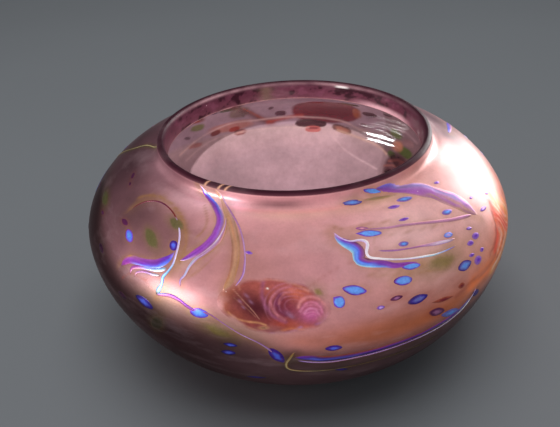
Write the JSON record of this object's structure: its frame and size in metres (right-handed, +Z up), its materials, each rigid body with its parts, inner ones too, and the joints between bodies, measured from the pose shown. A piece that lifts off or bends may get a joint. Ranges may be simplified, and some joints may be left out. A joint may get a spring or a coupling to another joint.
{
  "type": "art glass bowl",
  "caption": "Squat free-blown glass bowl with an incurved mouth and low collar lip, rolled-in trails, chips and shell-like prunts in a lustred wall.",
  "frame": {"origin": "centre of the foot ring, on the plane that the bowl stands on", "axes": "+Z up along the axis of the turned body; -Y is the front, with the front shell prunt just left of it"},
  "size_m": [0.15, 0.15, 0.0755],
  "materials": {
    "amber_glass": "opaque coloured glass melted flush into the wall, glossy, with a thin iridescent skin",
    "blue_glass": "opaque coloured glass melted flush into the wall, glossy, with a thin iridescent skin",
    "brown_glass": "opaque coloured glass melted flush into the wall, glossy, with a thin iridescent skin",
    "cream_glass": "opaque coloured glass melted flush into the wall, glossy, with a thin iridescent skin",
    "green_glass": "opaque coloured glass melted flush into the wall, glossy, with a thin iridescent skin",
    "indigo_glass": "opaque coloured glass melted flush into the wall, glossy, with a thin iridescent skin",
    "lilac_glass": "opaque coloured glass melted flush into the wall, glossy, with a thin iridescent skin",
    "mauve_glass": "opaque coloured glass melted flush into the wall, glossy, with a thin iridescent skin",
    "navy_glass": "opaque coloured glass melted flush into the wall, glossy, with a thin iridescent skin",
    "olive_glass": "opaque coloured glass melted flush into the wall, glossy, with a thin iridescent skin",
    "oxblood_glass": "opaque coloured glass melted flush into the wall, glossy, with a thin iridescent skin",
    "pink_glass": "opaque coloured glass melted flush into the wall, glossy, with a thin iridescent skin",
    "plum_glass": "opaque coloured glass melted flush into the wall, glossy, with a thin iridescent skin",
    "red_glass": "opaque coloured glass melted flush into the wall, glossy, with a thin iridescent skin",
    "rose_lustre_glass": "pearly dusty-rose lustre over translucent pink glass, satin sheen with a faint gold and lilac play",
    "scarlet_glass": "opaque coloured glass melted flush into the wall, glossy, with a thin iridescent skin",
    "slate_glass": "opaque coloured glass melted flush into the wall, glossy, with a thin iridescent skin",
    "violet_glass": "opaque coloured glass melted flush into the wall, glossy, with a thin iridescent skin",
    "white_glass": "opaque coloured glass melted flush into the wall, glossy, with a thin iridescent skin"
  },
  "bodies": {
    "root": {"amber_trail": "amber_glass", "arc_trail": "white_glass", "back_brown_trail": "brown_glass", "back_red_streak": "red_glass", "back_shoulder_trail": "violet_glass", "base_thread": "white_glass", "base_trail": "indigo_glass", "blue_chip_1": "blue_glass", "blue_chip_2": "blue_glass", "blue_chip_3": "blue_glass", "blue_chip_4": "blue_glass", "blue_chip_5": "blue_glass", "blue_chip_6": "blue_glass", "blue_chip_7": "blue_glass", "blue_chip_8": "blue_glass", "bowl_body": "rose_lustre_glass", "brown_chip_1": "brown_glass", "curl_thread": "olive_glass", "fine_thread": "lilac_glass", "green_patch_1": "green_glass", "green_patch_2": "green_glass", "hook_ribbon": "lilac_glass", "hook_trail": "violet_glass", "indigo_chip_1": "indigo_glass", "lilac_thread": "lilac_glass", "mauve_chip_1": "mauve_glass", "navy_chip_1": "navy_glass", "navy_chip_2": "navy_glass", "navy_chip_3": "navy_glass", "navy_chip_4": "navy_glass", "navy_chip_5": "navy_glass", "navy_chip_6": "navy_glass", "navy_chip_7": "navy_glass", "navy_chip_8": "navy_glass", "olive_patch_1": "olive_glass", "olive_patch_2": "olive_glass", "olive_patch_3": "olive_glass", "olive_patch_4": "olive_glass", "olive_patch_5": "olive_glass", "pink_thread": "pink_glass", "plum_chip_1": "plum_glass", "plum_chip_2": "plum_glass", "plum_chip_3": "plum_glass", "rim_thread": "cream_glass", "shell_prunt_back": "scarlet_glass", "shell_prunt_front": "oxblood_glass", "shell_prunt_right": "scarlet_glass", "shoulder_trail": "violet_glass", "slate_chip_1": "slate_glass", "violet_chip_1": "violet_glass", "violet_chip_2": "violet_glass", "violet_chip_3": "violet_glass", "violet_chip_4": "violet_glass", "violet_chip_5": "violet_glass", "violet_chip_6": "violet_glass", "violet_chip_7": "violet_glass", "violet_chip_8": "violet_glass", "wave_ribbon": "lilac_glass", "wave_trail": "violet_glass", "zigzag_trail": "white_glass"}
  },
  "joints": []
}
